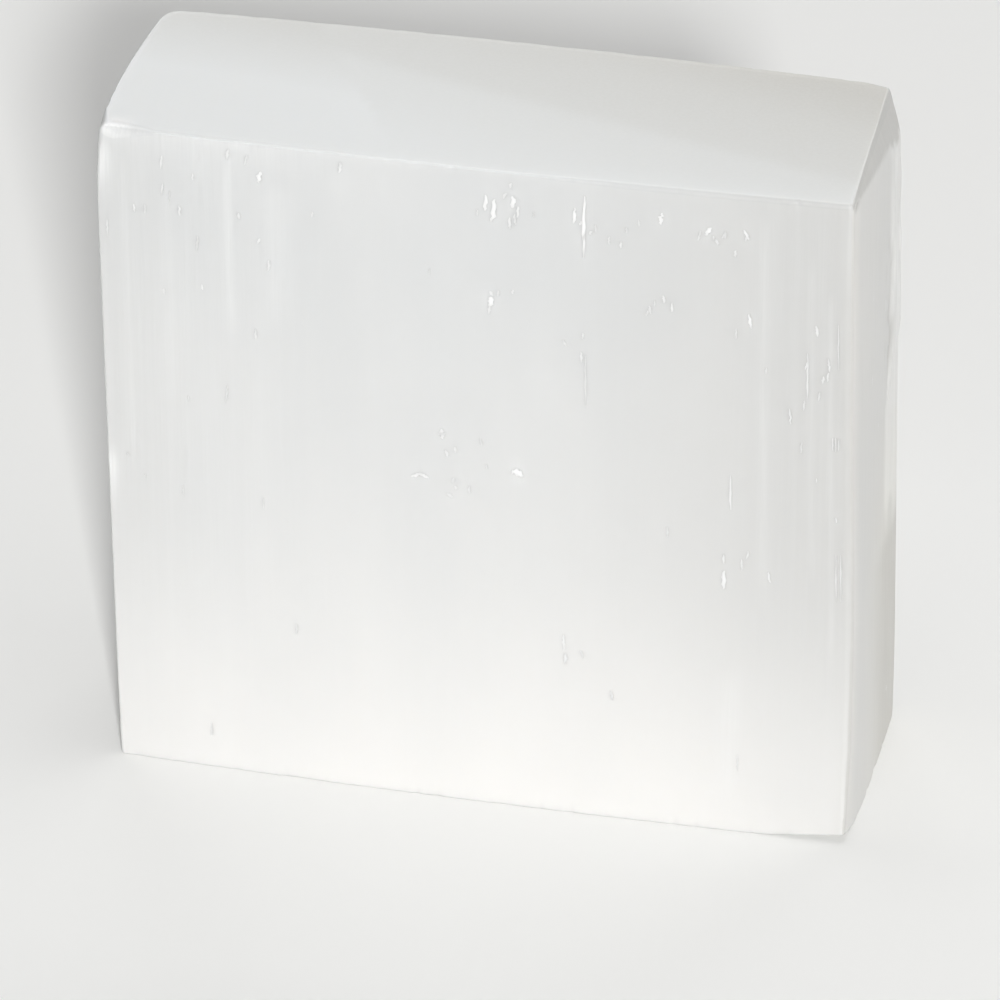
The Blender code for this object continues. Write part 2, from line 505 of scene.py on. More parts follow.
def clearness_and_shade(around, height):
    """How clear, and so how grey, the long faces are, partly as painted shade: greyer higher up the
    front, on the rounding of the front right edge and low at the back of the right face.
    """
    # Less clear, so whiter, low on the front: partly painted light from the floor.
    front = np.interp(around, *zip(*FRONT_CLEARNESS)) * (0.30 + 0.70 * ramp(height, 0.002, 0.048))
    # Painted shade: greyer low towards the back of the right face.
    low_back = ramp(around, *SHADED_LOW_BACK) * (1 - ramp(height, *SHADED_LOW_BACK_TOP))
    right = 0.66 - 0.61 * ramp(around, *EDGE_CLEARNESS_FADES) + 0.60 * low_back
    # Painted shade on the rounding of the front right edge, where it would catch the light.
    on_edge = bell(around, WIDTH - 0.0005, 0.0009) * (0.16 - 0.17 * ramp(height, 0.080, 0.087))
    return by_face(around, front, right, 0.15) + on_edge


def milkiness_and_painted_light(around, height):
    """How milky, and so how white and warm, the long faces are: most of all towards the base, which
    is partly painted light from the floor, and in a painted lit strip beside the front right edge.
    """
    # Whiter towards the base: partly painted light from the floor.
    low = np.interp(height, *zip(*FRONT_MILKINESS_AND_FLOOR_LIGHT))
    low *= 0.88 + 0.12 * ramp(around, 0.012, 0.032) - 0.22 * ramp(around, 0.080, 0.098)
    upper_front = (1 - ramp(around, WIDTH + 0.008, WIDTH + 0.024)) * ramp(height, 0.040, 0.065)
    # Painted light: a whiter strip beside the front right edge.
    right = 0.46 + 0.20 * upper_front + 0.40 * window(around, *LIT_EDGE_STRIP)
    return by_face(around, low, right, low)


def warmth(around, height):
    """How warm the right face is: most of all low down towards the back."""
    low_back = ramp(around, WIDTH + 0.006, WIDTH + 0.026) * (1 - ramp(height, 0.030, 0.060))
    return by_face(around, 0, 0.25 + 0.75 * low_back, 0)


# A painted highlight on the rim reaches this far right of the front left edge, and to its left.
RIM_HIGHLIGHT_RIGHT = (0.003, 0.008)
RIM_HIGHLIGHT_LEFT = (AROUND - 0.003, AROUND - 0.002)
EDGE_WEAR_WIDTH = (0.0003, 0.0010)
UNWORN = 0.0040  # no wear shows this near the front right edge
UNWORN_ROWS = 3  # nor on this many rows of the top rim, next to the sawn end
INNER_RIM_SHARE = 0.6  # how far the row beside a sawn end already looks like it


def wall_amounts(around, height, top_radius, marks):
    """Amounts for the material on the rows of the long faces."""
    broken, pits, bands, nicked = marks
    on_rim = 1 - ramp(HEIGHT - top_radius - height, 0, 0.0002)
    corner_highlight = 1 - ramp(around, *RIM_HIGHLIGHT_RIGHT) + ramp(around, *RIM_HIGHLIGHT_LEFT)
    beside_rim = bell(height, HEIGHT, 0.0038) * (1 - ramp(around, 0.018, 0.040))
    pale = broken * (0.80 - 0.25 * ramp(height, 0.070, 0.080))
    on_edge = 1 - ramp(to_long_edge(around), *EDGE_WEAR_WIDTH)
    # Whitening: the fracture, the bands, just below the rim, the painted glow round glints, and the
    # painted highlight on the rim at the front left corner.
    whitened = [pale, bands, 0.16 * beside_rim, glint_glow(around, height), 0.32 * on_rim * corner_highlight]
    return {
        "pale": np.max(whitened, axis=0),
        # Greyer in the pits and the nick: painted shade in these hollows.
        "clear_and_shaded": clearness_and_shade(around, height) + pits + 1.5 * nicked,
        "milky_and_lit": milkiness_and_painted_light(around, height),
        # Painted shade: the top rim is darkened where it catches the light, except at the corner
        # highlight.
        "rim_shade": on_rim * (0.22 - 0.10 * bell(around, 0.045, 0.012)) * (1 - corner_highlight),
        "fibrous": fibrous(around, height),
        "worn": 0.25 * on_edge * (np.abs(around - WIDTH) > UNWORN),
        "warm": warmth(around, height),
    }


def wall_surface(rng):
    """Points of the long faces in rows, with the way round, and amounts for the material."""
    shares = wall_shares()
    plan, around = plan_rows(HEIGHT * shares)
    places, radii = zip(*TOP_RIM_RADII)
    top_radius = np.interp(around[len(around) // 2], places, radii)
    height = BASE_RIM_RADIUS + shares[:, None] * (HEIGHT - BASE_RIM_RADIUS - top_radius)
    normals = outward_normals(plan)
    broken, pits, proud = fracture(around, height, rng)
    bands = band_paleness(around, height)
    nicked = nick(around, height)
    offset = proud - fibre_depth(around, height, rng) + BAND_RELIEF * bands - NICK_DEPTH * nicked
    offset -= rim_depth(around, HEIGHT - height, rng) + rim_depth(around, height, rng)
    walls = np.concatenate([plan + normals * offset[..., None], height[..., None]], axis=-1)
    base = rim_rows(walls[0], normals[0], np.full(len(top_radius), BASE_RIM_RADIUS), -1)
    top = rim_rows(walls[-1], normals[-1], top_radius, 1)
    amounts = wall_amounts(around, height, top_radius, (broken, pits, bands, nicked))
    amounts = {name: with_rim_rows(amount) for name, amount in amounts.items()}
    amounts["worn"][-UNWORN_ROWS:] = 0
    amounts["sawn"] = np.zeros(amounts["pale"].shape)
    for outer, inner, edge, upward in ((0, 1, base[-1], False), (-1, -2, top[-1], True)):
        for name, amount in end_amounts(edge, upward).items():
            amounts[name][outer] = amount
            amounts[name][inner] += INNER_RIM_SHARE * (amount - amounts[name][inner])
    return np.concatenate([base[::-1], walls, top]), with_rim_rows(around), amounts


def with_rim_rows(rows):
    """Repeats the first and the last row for the rows of the rims."""
    return np.pad(rows, ((RIM_ROWS, RIM_ROWS), (0, 0)), mode="edge")


def rim_rows(edge, normals, radius, upward):
    """Rows that round a wall's end over onto the sawn end."""
    rows = []
    for i in range(1, RIM_ROWS + 1):
        angle = pi / 2 * i / RIM_ROWS
        into = normals * (radius * (1 - cos(angle)))[:, None]
        rise = upward * radius * sin(angle)
        rows.append(np.column_stack([edge[:, :2] - into, edge[:, 2] + rise]))
    return np.stack(rows)


# -------- the two sawn ends

END_GRID = 0.0013  # between the points of the grid inside an end
END_GRID_SHAKE = 0.6  # how far each point is moved by chance, as a share of that
END_MARGIN = 0.0024  # how far the grid keeps from the rim
END_RINGS = ((0.0003, 2), (0.0008, 3), (0.0016, 4))  # how far in, and every how many rim points
RING_SLACK = 0.9  # a ring's point stays if it is at least this share of its inset from the rim

# A broad flat on the top end: the line where it starts, as a point and a direction. It falls away
# to the left of that line.
Flat = namedtuple("Flat", "x y direction_x direction_y")
LEFT_FLAT = Flat(-0.0170, -0.0035, -0.47, 0.88)
BACK_FLAT = Flat(0.0345, -0.0070, 0.96, -0.28)
FLAT_SLOPE = 0.0040
FLAT_DEPTH = 0.08 * MM  # no flat falls further than this
WAVE_DEPTH = 0.003 * MM


def end_inner_points(rim, rng):
    """Points inside a rim: rings that follow it closely, and a shaken grid within them."""
    along = np.roll(rim, -1, axis=0) - np.roll(rim, 1, axis=0)
    inward = np.stack([-along[:, 1], along[:, 0]], axis=-1)
    inward /= np.linalg.norm(inward, axis=-1, keepdims=True)
    sets = [((rim + inset * inward)[::step], RING_SLACK * inset) for inset, step in END_RINGS]
    low = rim.min(axis=0)
    high = rim.max(axis=0)
    xs = np.arange(low[0], high[0], END_GRID)
    ys = np.arange(low[1], high[1], END_GRID)
    grid = np.stack(np.meshgrid(xs, ys), axis=-1).reshape(-1, 2)
    grid += (rng.random(grid.shape) - 0.5) * END_GRID * END_GRID_SHAKE
    sets.append((grid, END_MARGIN))
    kept = []
    for points, clear_of_rim in sets:
        to_rim = points[:, None] - rim[None, ::2]
        nearest = np.square(to_rim).sum(axis=-1).argmin(axis=1)
        inside = (to_rim[np.arange(len(points)), nearest] * inward[::2][nearest]).sum(axis=-1)
        kept.append(points[inside > clear_of_rim])
    return np.concatenate(kept)


def end_triangles(rim, inner):
    """Triangles that fill a rim, as indices into the rim's points and then the inner ones."""
    points = [Vector(p) for p in np.concatenate([rim, inner])]
    result = geometry.delaunay_2d_cdt(points, [], [list(range(len(rim)))], 1, 1e-9)
    origin = [sources[0] for sources in result[3]]
    return [[origin[i] for i in triangle] for triangle in result[2]]


def flat_side(flat, points):
    """How far points are to the left of a flat's line, seen along its direction."""
    return (points[:, 1] - flat.y) * flat.direction_x - (points[:, 0] - flat.x) * flat.direction_y


def top_relief(points):
    """How far the top end lies below its plane: broad flats and faint waves."""
    x, y = points.T
    depth = 0 * x
    for flat in (LEFT_FLAT, BACK_FLAT):
        depth += FLAT_SLOPE * np.maximum(0, flat_side(flat, points))
    waves = np.sin(x / 0.0061 + 3 * y / 0.020) + np.sin(x / 0.0137 - y / 0.011)
    return np.minimum(depth, FLAT_DEPTH) + (2 + waves) * WAVE_DEPTH


# A painted highlight whitens the top near its front left corner: its middle from the left and
# from the front, how far it reaches and how white it is. The rest of the left half of the front
# rim is paler too, as painted light along the rim.
CORNER_HIGHLIGHT_FROM_LEFT = 0.0030
CORNER_HIGHLIGHT_FROM_FRONT = 0.0022
CORNER_HIGHLIGHT_REACH = 0.0018
CORNER_HIGHLIGHT_WHITE = 2.0
RIM_PALE = 0.12
RIM_PALE_REACH = 0.0016
RIM_PALE_ENDS = (-0.28, -0.05)  # as shares of the width, from the middle


def end_amounts(points, upward):
    """Amounts for the material on a sawn end: it is clearer, and so greyer, to the back right, which
    is partly painted shade.
    """
    x = points[:, 0] / WIDTH
    y = points[:, 1] / DEPTH
    clear_and_shaded = 0.26 + 0.48 * y + 0.52 * x + 0.5 * np.maximum(0, x + y - 0.50)
    if upward:
        # The flats' tone steps are partly painted shade from their tilt, partly a different polish.
        left = ramp(flat_side(LEFT_FLAT, points), -0.0006, 0.0006)
        back = ramp(flat_side(BACK_FLAT, points), -0.0020, 0.0020)
        front = ramp(-points[:, 1], DEPTH / 2 - 0.0060, DEPTH / 2 - 0.0020)
        clear_and_shaded += (0.78 * y - 0.10) * left + 0.16 * back * (1 - left)
        # Lighter along the front of the right half: painted light on the rounded rim.
        clear_and_shaded -= 0.05 * front * ramp(x, 0.0, 0.2)
    from_left = points[:, 0] + WIDTH / 2 - CORNER_HIGHLIGHT_FROM_LEFT
    from_front = points[:, 1] + DEPTH / 2
    # Painted highlight on the top near its front left corner.
    corner_highlight = CORNER_HIGHLIGHT_WHITE * bell(np.hypot(from_left, from_front - CORNER_HIGHLIGHT_FROM_FRONT), 0, CORNER_HIGHLIGHT_REACH)
    beside_rim = bell(from_front, FRONT_LEAN, RIM_PALE_REACH) * (1 - ramp(x, *RIM_PALE_ENDS))
    none = 0 * clear_and_shaded
    amounts = {name: none for name in ("milky_and_lit", "rim_shade", "fibrous", "worn", "warm")}
    amounts["pale"] = np.maximum(corner_highlight, RIM_PALE * beside_rim)
    amounts["clear_and_shaded"] = np.clip(clear_and_shaded, 0, 1)
    amounts["sawn"] = none + 1
    return amounts


# -------- the block's mesh

def grid_faces(rows, columns, clockwise=False):
    """Faces between neighbouring rows of a closed band."""
    faces = []
    for row in range(rows - 1):
        low = row * columns
        high = low + columns
        for i in range(columns):
            j = (i + 1) % columns
            if clockwise:
                faces.append((low + i, high + i, high + j, low + j))
            else:
                faces.append((low + i, low + j, high + j, high + i))
    return faces


def shape_block(rng):
    """Points and faces of the block, amounts for the material, and its long faces in rows."""
    surface, around, amounts = wall_surface(rng)
    rows, columns = around.shape
    faces = grid_faces(rows, columns)
    parts = [surface.reshape(-1, 3)]
    collected = {name: [amount.ravel()] for name, amount in amounts.items()}
    count = rows * columns
    for row, upward in ((0, False), (rows - 1, True)):
        rim = surface[row, :, :2]
        inner = end_inner_points(rim, rng)
        level = np.full(len(inner), HEIGHT if upward else 0.0)
        if upward:
            level -= top_relief(inner)
        parts.append(np.column_stack([inner, level]))
        for triangle in end_triangles(rim, inner):
            face = [row * columns + i if i < columns else count + i - columns for i in triangle]
            faces.append(face if upward else face[::-1])
        count += len(inner)
        for name, amount in end_amounts(inner, upward).items():
            collected[name].append(amount)
    points = np.concatenate(parts)
    lean(points)
    ground = grind_all(points)
    amounts = {name: np.concatenate(amount) for name, amount in collected.items()}
    amounts["clear_and_shaded"] = np.maximum(amounts["clear_and_shaded"], GROUND_CLEARNESS * ground)
    amounts["pale"] *= 1 - ground
    amounts["worn"] *= 1 - ground
    walls = points[: rows * columns].reshape(rows, columns, 3)
    return points, faces, amounts, walls, around


def add_amount(mesh, name, values):
    """Stores one number for each point, for the material to read."""
    layer = mesh.attributes.new(name, "FLOAT", "POINT")
    layer.data.foreach_set("value", np.asarray(values, np.float32))


def add_piece(name, points, faces, material):
    """A smooth mesh object."""
    mesh = bpy.data.meshes.new(name)
    mesh.from_pydata(np.asarray(points).tolist(), [], faces)
    mesh.shade_smooth()
    mesh.update()
    piece = bpy.data.objects.new(name, mesh)
    piece.data.materials.append(material)
    bpy.context.scene.collection.objects.link(piece)
    return piece


def make_block(rng):
    """The fine block, and its long faces in rows for what sits on them."""
    points, faces, amounts, walls, around = shape_block(rng)
    block = add_piece("satin_block", points, faces, mineral_material())
    for name, amount in amounts.items():
        add_amount(block.data, name, amount)
    return block, walls, around


# -------- cleavage splinters

# A splinter, in millimetres: how far its middle is round the block from the front left edge and
# above the base, its length and its width; how many degrees its top leans to the right; and how
# white it is, up to 1, which is partly painted glint where a cleavage plane catches the light.
Splinter = namedtuple("Splinter", "across height length width turn white", defaults=(1.0,))
FRONT_SPLINTERS = (
    Splinter(52, 89, 2.4, 0.5, 0),
    Splinter(53, 88, 3.6, 0.6, 2),
    Splinter(55.5, 89.5, 1.8, 0.6, 0),
    Splinter(64.9, 87, 9.5, 0.45, -1),
    Splinter(63.6, 88.5, 2.4, 0.4, 0),
    Splinter(65, 65, 8.0, 0.2, 0, 0.4),
    Splinter(75, 89.3, 1.8, 0.5, 4),
    Splinter(81, 88.2, 1.5, 0.5, 30),
    Splinter(86, 88.2, 1.6, 0.35, -25),
    Splinter(52.5, 75, 1.5, 0.7, 5),
    Splinter(86.5, 76, 2.2, 0.4, -10),
    Splinter(94, 69, 7.0, 0.25, 0, 0.6),
    Splinter(98, 73.5, 7.0, 0.14, 0, 0.8),
    Splinter(97.3, 59.5, 2.0, 0.14, 0),
    Splinter(97.7, 59.5, 2.3, 0.14, 0),
    Splinter(98.1, 59.5, 2.0, 0.14, 0),
    Splinter(97.7, 48.5, 0.8, 0.2, 0),
    Splinter(97.6, 40, 7.5, 0.14, 0),
    Splinter(98.2, 40, 7.5, 0.14, 0, 0.8),
    Splinter(84, 51, 5.5, 0.25, 0, 0.8),
    Splinter(83, 38, 3.0, 0.5, 4, 0.5),
    Splinter(56, 50.5, 1.7, 0.9, -65),
    Splinter(42.5, 48.5, 1.6, 0.4, 62),
    Splinter(43.5, 48.5, 1.6, 0.4, -70),
    Splinter(46, 55, 1.6, 0.5, 0),
    Splinter(46, 55, 1.1, 0.4, 80),
    Splinter(47, 46, 1.0, 0.4, -70, 0.6),
    Splinter(33, 91.7, 1.6, 0.4, 0, 0.3),
    Splinter(22.5, 89, 1.8, 0.5, 0),
    Splinter(18.2, 91.7, 1.6, 0.4, 0, 0.3),
    Splinter(9.5, 89.5, 2.0, 0.3, 0, 0.5),
    Splinter(26, 23, 1.7, 0.25, 0, 0.5),
    Splinter(62, 26, 2.6, 0.3, 0),
)

# A loose group of small splinters on the front, in millimetres: its middle, how far it spreads
# each way, how many there are, and how long they are.
Group = namedtuple("Group", "across height wide tall count length")
FRONT_GROUPS = (
    Group(54, 89, 4, 3, 7, 1.3),
    Group(68, 87, 5, 4, 8, 1.0),
    Group(83, 87.5, 5, 2, 7, 1.1),
    Group(52, 76, 3, 2.5, 4, 1.1),
    Group(74, 78, 5, 4, 5, 1.1),
    Group(64, 70, 3, 5, 3, 1.3),
    Group(95.5, 70, 2.5, 8, 6, 1.5),
    Group(86, 42, 5, 8, 4, 1.5),
    Group(47, 52, 7, 6, 7, 0.9),
    Group(64, 26, 5, 7, 3, 1.3),
    Group(23, 79, 8, 12, 5, 1.3),
    Group(8, 82, 6, 9, 4, 1.5),
)
SCATTERED_SPLINTERS = 110  # by chance, over all four long faces
SPLINTER_STATIONS = 9  # places along a splinter where its section is given
SPLINTER_TAPER = 0.55  # below 1 keeps it wide nearer to its ends
SPLINTER_CREST = 0.026 * MM  # how proud its crest is, and how much more for its width
CREST_FOR_WIDTH = 0.02
SPLINTER_SHOULDER = 0.3  # how proud its sides are, as a share of the crest
SPLINTER_BACK = -0.20 * MM  # how deep its back is buried, along it and at its two tips
SPLINTER_TIP = -0.12 * MM
ROWS_FOR_UP = 3  # the wall's upward direction is taken over this many rows each way


def wall_place(walls, around, way, height):
    """A point of the long faces, with the directions out of them, along them and up them."""
    row = np.abs(walls[:, 0, 2] - height).argmin()
    row = int(np.clip(row, RIM_ROWS + ROWS_FOR_UP, len(walls) - RIM_ROWS - ROWS_FOR_UP - 1))
    column = np.abs(around[row] - way).argmin()
    columns = walls.shape[1]
    point = walls[row, column].copy()
    along = walls[row, (column + 2) % columns] - walls[row, column - 2]
    along /= np.linalg.norm(along)
    point += along * (way - around[row, column])
    up = walls[row + ROWS_FOR_UP, column] - walls[row - ROWS_FOR_UP, column]
    up /= np.linalg.norm(up)
    point += up * (height - point[2])
    return point, np.cross(along, up), along, up


def splinter_shape(length, width, rng):
    """Points and faces of a sliver lying along z, its crest towards +y, its back buried."""
    share = np.linspace(0.04, 0.96, SPLINTER_STATIONS)
    full = np.sin(pi * share) ** SPLINTER_TAPER
    half = width / 2 * full * (0.8 + 0.4 * rng.random(SPLINTER_STATIONS))
    middle = width * 0.14 * rng.standard_normal(SPLINTER_STATIONS)
    tallest = SPLINTER_CREST + CREST_FOR_WIDTH * width
    crest = tallest * full * (0.6 + 0.6 * rng.random(SPLINTER_STATIONS))
    shoulder = SPLINTER_SHOULDER * crest
    ridge = 0.5 * rng.random() - 0.25
    points = []
    for i in range(SPLINTER_STATIONS):
        z = length * (share[i] - 0.5)
        left = middle[i] - half[i]
        right = middle[i] + half[i]
        points.append((left, SPLINTER_BACK, z))
        points.append((left, shoulder[i], z))
        points.append((middle[i] + ridge * half[i], crest[i], z))
        points.append((right, shoulder[i], z))
        points.append((right, SPLINTER_BACK, z))
    ring = len(points) // SPLINTER_STATIONS
    points.append((0, SPLINTER_TIP, -length / 2))
    points.append((0, SPLINTER_TIP, length / 2))
    bottom_tip = len(points) - 2
    top_tip = len(points) - 1
    faces = grid_faces(SPLINTER_STATIONS, ring, clockwise=True)
    last = (SPLINTER_STATIONS - 1) * ring
    for k in range(ring):
        m = (k + 1) % ring
        faces.append((bottom_tip, k, m))
        faces.append((top_tip, last + m, last + k))
    return np.array(points), faces


def grouped_splinters(rng):
    """The splinters of the groups."""
    found = []
    for group in FRONT_GROUPS:
        for _ in range(group.count):
            across = group.across + 0.5 * group.wide * rng.standard_normal()
            height = group.height + 0.5 * group.tall * rng.standard_normal()
            length = group.length * (0.6 + 0.8 * rng.random())
            width = 0.18 + 0.20 * rng.random()
            turn = 12 * rng.standard_normal() / length  # the short ones lie less straight
            white = 0.3 + 0.5 * rng.random()
            found.append(Splinter(np.clip(across, 1, 99), min(height, 92), length, width, turn, white))
    return found


def scattered_splinters(rng):
    """Small splinters by chance, where the fibres show and towards the top."""
    found = []
    while len(found) < SCATTERED_SPLINTERS:
        way = rng.random() * AROUND
        height = 0.004 + rng.random() * (HEIGHT - 0.008)
        likely = fibrous(np.array(way), np.array(height)) * (0.35 + 0.65 * height / HEIGHT)
        if rng.random() < likely:
            length = 0.6 + 2.2 * rng.random() ** 2
            width = 0.12 + 0.12 * rng.random()
            turn = 4 * rng.standard_normal()
            white = 0.2 + 0.5 * rng.random()
            found.append(Splinter(way / MM, height / MM, length, width, turn, white))
    return found


def make_splinters(walls, around, rng):
    """Every splinter, as one piece."""
    points = []
    faces = []
    white = []
    for item in (*FRONT_SPLINTERS, *grouped_splinters(rng), *scattered_splinters(rng)):
        place, out, along, up = wall_place(walls, around, item.across * MM, item.height * MM)
        shape, shape_faces = splinter_shape(item.length * MM, item.width * MM, rng)
        turn = radians(item.turn)
        beside = shape[:, 0] * cos(turn) + shape[:, 2] * sin(turn)
        above = shape[:, 2] * cos(turn) - shape[:, 0] * sin(turn)
        placed = place + beside[:, None] * along + shape[:, 1:2] * out + above[:, None] * up
        faces += [tuple(len(points) + i for i in face) for face in shape_faces]
        points += placed.tolist()
        white += [item.white] * len(placed)
    piece = add_piece("cleavage_splinters", points, faces, splinter_material())
    piece.data.set_sharp_from_angle(angle=radians(40))
    add_amount(piece.data, "white", white)
    return piece


# -------- materials

class Nodes:
    """Short ways to add and join the nodes of one material."""

    def __init__(self, name):
        self.material = bpy.data.materials.new(name)
        self.material.use_nodes = True
        self.tree = self.material.node_tree
        self.shader = self.tree.nodes["Principled BSDF"]

    def add(self, kind, **settings):
        """A node of a kind, with its settings."""
        node = self.tree.nodes.new(kind)
        for key, value in settings.items():
            setattr(node, key, value)
        return node

    def join(self, source, target):
        """Feeds a socket, or sets it when the source is a plain value."""
        if isinstance(source, bpy.types.NodeSocket):
            self.tree.links.new(source, target)
        else:
            target.default_value = source

    def amount(self, name):
        """A number stored on the mesh."""
        return self.add("ShaderNodeAttribute", attribute_name=name).outputs["Fac"]

    def math(self, operation, first, second=0.0, clamp=False):
        """One sum on two numbers."""
        node = self.add("ShaderNodeMath", operation=operation, use_clamp=clamp)
        self.join(first, node.inputs[0])
        self.join(second, node.inputs[1])
        return node.outputs[0]

    def spread(self, value, low, high, to_low=0.0, to_high=1.0):
        """Stretches a range of numbers onto another, with soft ends."""
        node = self.add("ShaderNodeMapRange", interpolation_type="SMOOTHSTEP")
        for socket, number in zip(node.inputs[:5], (value, low, high, to_low, to_high)):
            self.join(number, socket)
        return node.outputs[0]

    def noise(self, cell, detail=3.0, roughness=0.5, offset=(0, 0, 0)):
        """Noise whose grains have the given size in metres along x, y and z."""
        mapping = self.add("ShaderNodeMapping")
        self.join(self.add("ShaderNodeTexCoord").outputs["Object"], mapping.inputs["Vector"])
        mapping.inputs["Scale"].default_value = [1 / size for size in cell]
        mapping.inputs["Location"].default_value = offset
        node = self.add("ShaderNodeTexNoise")
        self.join(mapping.outputs[0], node.inputs["Vector"])
        node.inputs["Scale"].default_value = 1
        node.inputs["Detail"].default_value = detail
        node.inputs["Roughness"].default_value = roughness
        return node.outputs["Fac"]

    def mix(self, amount, first, second, blend="MIX"):
        """Mixes two colours."""
        node = self.add("ShaderNodeMix", data_type="RGBA", blend_type=blend)
        self.join(amount, node.inputs[0])
        self.join(first, node.inputs[6])
        self.join(second, node.inputs[7])
        return node.outputs[2]

    def bump(self, height, distance, strength=1.0, under=None):
        """A bump of a depth in metres, on top of another one."""
        node = self.add("ShaderNodeBump")
        node.inputs["Strength"].default_value = strength
        node.inputs["Distance"].default_value = distance
        self.join(height, node.inputs["Height"])
        if under is not None:
            self.join(under, node.inputs["Normal"])
        return node.outputs[0]


# Colours of the mineral: least and most milky (whiter towards the base, partly painted light), in
# white fibres, grey where it is clear and where shade is painted, and on the sawn ends; and the
# tints that warm it and that paint shade on its rims.
COOL_WHITE = (0.668, 0.676, 0.676, 1)
WARM_WHITE = (0.825, 0.816, 0.800, 1)
PALE_WHITE = (0.930, 0.935, 0.930, 1)
CLEAR_GREY = (0.556, 0.551, 0.536, 1)
END_WHITE = (0.845, 0.860, 0.856, 1)
END_GREY = (0.650, 0.641, 0.605, 1)
WARM_TINT = (1.01, 0.995, 0.95, 1)
RIM_SHADE_TINT = (0.78, 0.79, 0.80, 1)
# The whitest splinter colour is partly painted glint.
LIFTED_DULL = (0.81, 0.815, 0.81, 1)  # the dullest and the whitest splinters
GLINT_WHITE = (0.96, 0.965, 0.96, 1)

REFRACTION = 1.52  # gypsum's index

# How far the grains of the noise reach along x, y and z.
CLOUD_SIZE = (0.018, 0.018, 0.050)
STREAK_SIZE = (0.0012, 0.0012, 0.060)
FIBRE_SIZE = (0.00035, 0.00035, 0.012)
GRAIN_SIZE = (0.0005, 0.0005, 0.0005)
LIFTED_FIBRE_SIZE = (0.0002, 0.0002, 0.003)
LIFTED_GRAIN_SIZE = (0.0003, 0.0003, 0.0003)
RIB_DEPTH = 0.02 * MM  # how deep the bumps of fibres and grain are
GRAIN_DEPTH = 0.01 * MM


def mineral_material():
    """Milky fibrous mineral: satin long faces, matte sawn ends, whiter bands and worn edges,
    with painted highlights, glints and shade.
    """
    n = Nodes("satin_mineral")
    pale = n.amount("pale")
    clear_and_shaded = n.amount("clear_and_shaded")
    fibrous_here = n.amount("fibrous")
    worn_here = n.amount("worn")
    sawn = n.amount("sawn")
    clouds = n.noise(CLOUD_SIZE, 3, 0.5)
    streaks = n.noise(STREAK_SIZE, 4, 0.6)
    fibres = n.noise(FIBRE_SIZE, 4, 0.6, (3, 1, 7))
    grain = n.noise(GRAIN_SIZE, 4, 0.6)

    milky_and_lit = n.math("ADD", n.amount("milky_and_lit"), n.spread(clouds, 0.3, 0.7, -0.08, 0.08), clamp=True)
    colour = n.mix(milky_and_lit, COOL_WHITE, WARM_WHITE)
    colour = n.mix(clear_and_shaded, colour, CLEAR_GREY)
    lines = n.math("ADD", n.spread(streaks, 0.40, 0.75, 0, 0.07), n.spread(fibres, 0.55, 0.80, 0, 0.07))
    colour = n.mix(n.math("MULTIPLY", lines, fibrous_here), colour, PALE_WHITE)
    # The pale amount whitens fractured and banded mineral, and paints highlights and glows round
    # glints.
    broken = n.math("MULTIPLY", pale, n.spread(fibres, 0.30, 0.60, 0.45, 1))
    worn = n.math("MULTIPLY", worn_here, n.spread(grain, 0.35, 0.60, 0.25, 1))
    colour = n.mix(n.math("MULTIPLY", worn, 0.45), colour, PALE_WHITE)
    end = n.mix(clear_and_shaded, END_WHITE, END_GREY)
    end = n.mix(n.spread(grain, 0.3, 0.7, 0, 0.08), end, PALE_WHITE)
    colour = n.mix(sawn, colour, end)
    colour = n.mix(broken, colour, PALE_WHITE)
    colour = n.mix(n.amount("warm"), colour, WARM_TINT, "MULTIPLY")
    # Painted shade on the rims.
    colour = n.mix(n.amount("rim_shade"), colour, RIM_SHADE_TINT, "MULTIPLY")
    n.join(colour, n.shader.inputs["Base Color"])

    satin = n.spread(fibres, 0.3, 0.7, 0.34, 0.46)
    roughness = n.math("ADD", satin, n.math("MULTIPLY", worn, 0.12))
    roughness = n.math("ADD", roughness, n.math("MULTIPLY", sawn, 0.12), clamp=True)
    n.join(roughness, n.shader.inputs["Roughness"])

    ribs = n.math("MULTIPLY", n.math("ADD", fibres, streaks), fibrous_here)
    normal = n.bump(ribs, RIB_DEPTH)
    normal = n.bump(grain, GRAIN_DEPTH, 0.6, normal)
    n.join(normal, n.shader.inputs["Normal"])

    shader = n.shader.inputs
    shader["IOR"].default_value = REFRACTION
    shader["Specular IOR Level"].default_value = 0.35
    shader["Subsurface Weight"].default_value = 0.8
    shader["Subsurface Radius"].default_value = (1.0, 0.98, 0.95)
    shader["Subsurface Scale"].default_value = 0.001
    shader["Sheen Weight"].default_value = 0.06
    shader["Sheen Roughness"].default_value = 0.4
    return n.material


def splinter_material():
    """Whiter mineral in lifted fibres, partly painted glint where cleavage planes catch the light."""
    n = Nodes("lifted_fibres_and_glints")
    fibres = n.noise(LIFTED_FIBRE_SIZE, 4, 0.6)
    grain = n.noise(LIFTED_GRAIN_SIZE, 3, 0.6, (2, 5, 1))
    white = n.math("MULTIPLY", n.amount("white"), n.spread(fibres, 0.35, 0.65, 0.7, 1))
    colour = n.mix(white, LIFTED_DULL, GLINT_WHITE)
    n.join(colour, n.shader.inputs["Base Color"])
    n.join(n.spread(grain, 0.3, 0.7, 0.40, 0.60), n.shader.inputs["Roughness"])
    n.join(n.bump(fibres, RIB_DEPTH), n.shader.inputs["Normal"])
    n.shader.inputs["IOR"].default_value = REFRACTION
    n.shader.inputs["Subsurface Weight"].default_value = 0.4
    n.shader.inputs["Subsurface Radius"].default_value = (1.0, 1.0, 1.0)
    n.shader.inputs["Subsurface Scale"].default_value = 0.0006
    return n.material


